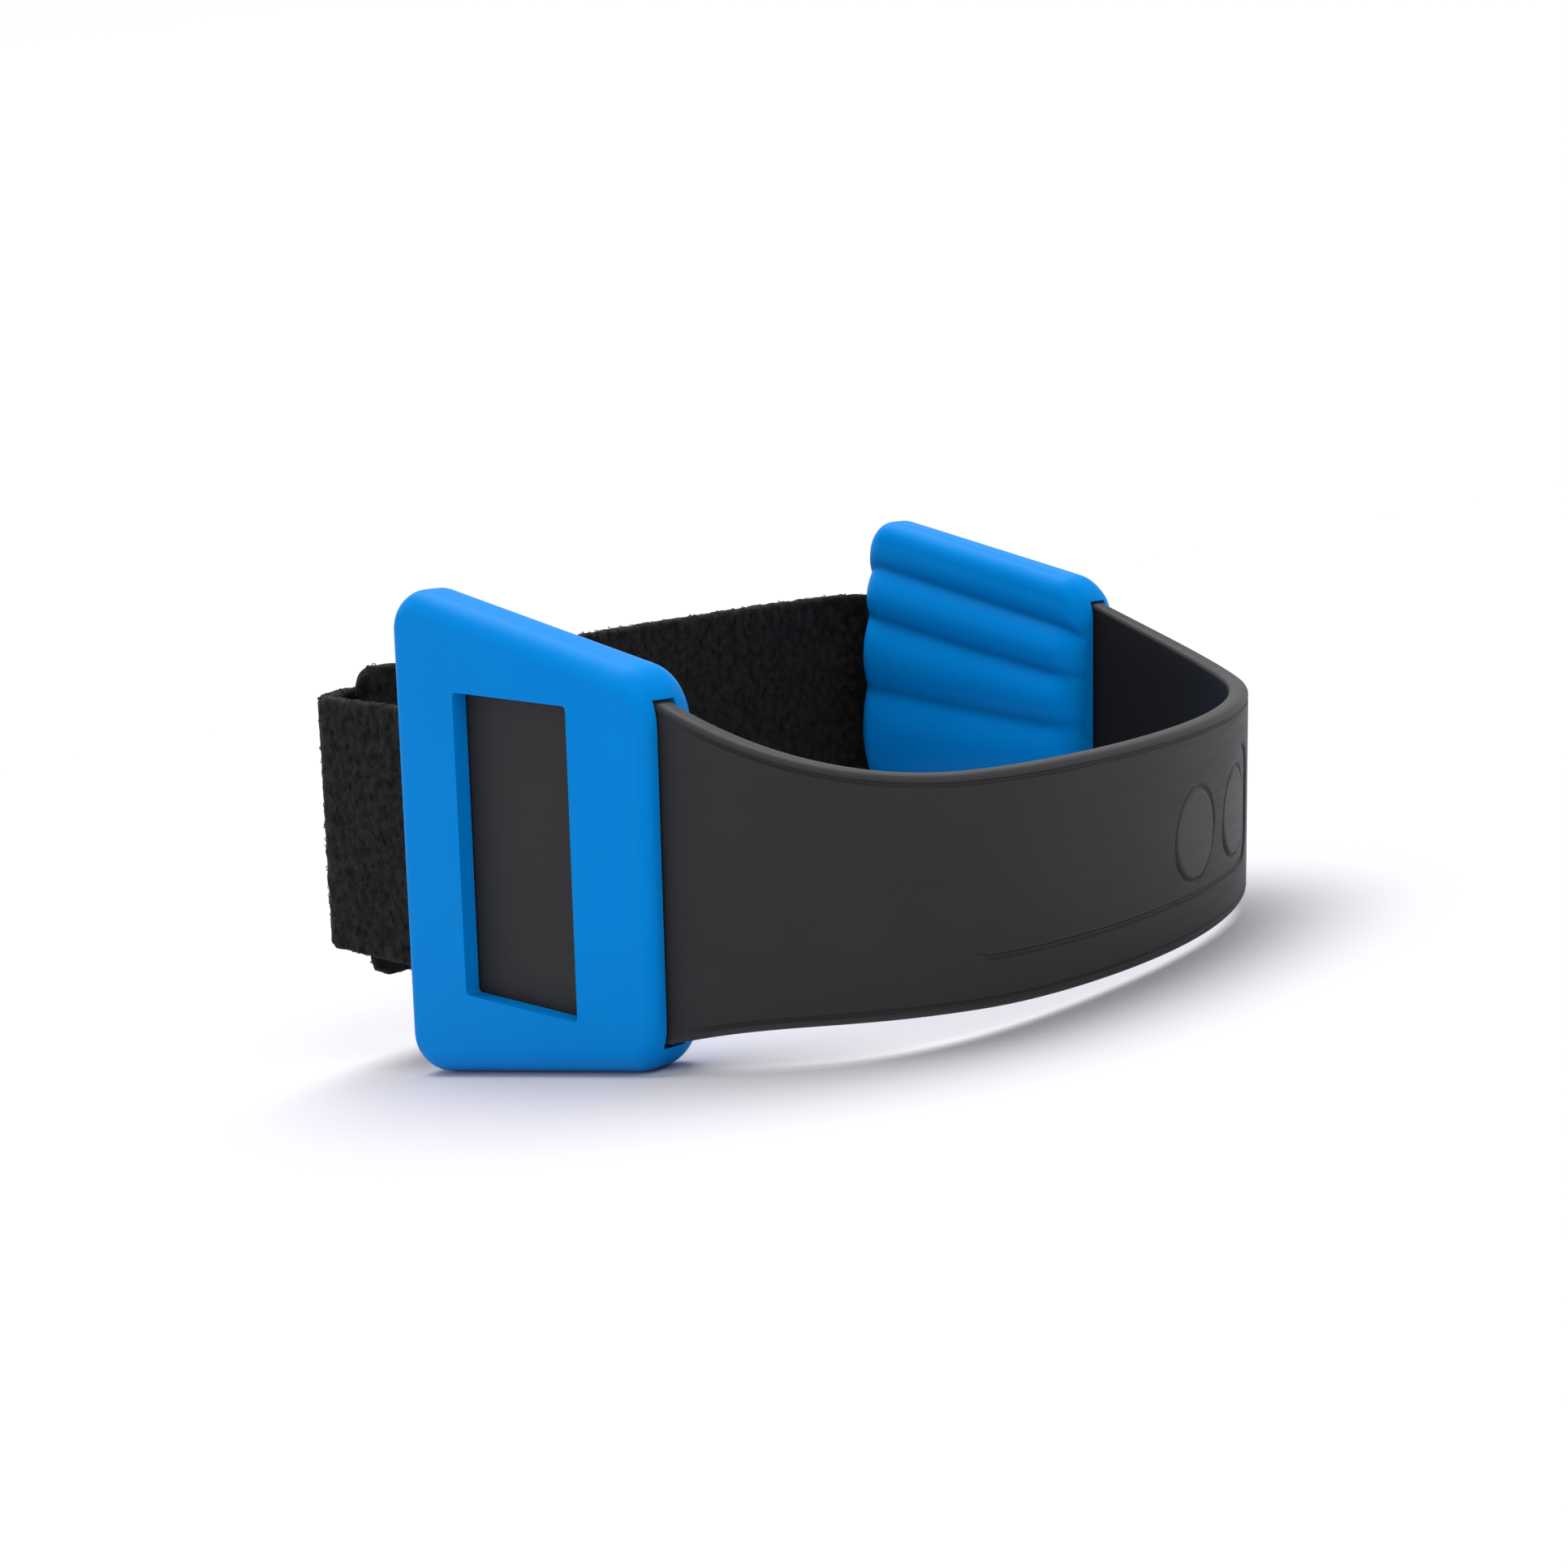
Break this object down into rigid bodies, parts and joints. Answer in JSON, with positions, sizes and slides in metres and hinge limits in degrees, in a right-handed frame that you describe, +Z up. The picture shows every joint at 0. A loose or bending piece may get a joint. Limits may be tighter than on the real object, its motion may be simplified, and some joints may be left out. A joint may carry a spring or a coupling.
{
  "type": "tennis elbow strap",
  "caption": "Forearm counterforce strap: a springy moulded band with two ribbed pressure pads, closed across the arm by a loop-pile strap and a wrapping hook tab",
  "frame": {"origin": "On the surface that the strap rests on, below the middle of its bounding box.", "axes": "Z up from the surface. The two pads face each other across Y, the front pad on the -Y side. The curved band bulges towards +X and the strap closes the loop on the -X side. The loop rests tipped by about eleven degrees, so the lower edges of both pads lie on the surface."},
  "size_m": [0.0968, 0.1016, 0.0515],
  "materials": {
    "band": "satin moulded charcoal elastomer",
    "pad": "satin moulded blue elastomer with softly rounded edges",
    "pile": "matt black brushed loop pile"
  },
  "bodies": {
    "root": {"band": "band", "front_pad": "pad", "back_pad": "pad", "strap": "pile", "closing_tab": "pile"}
  },
  "joints": []
}
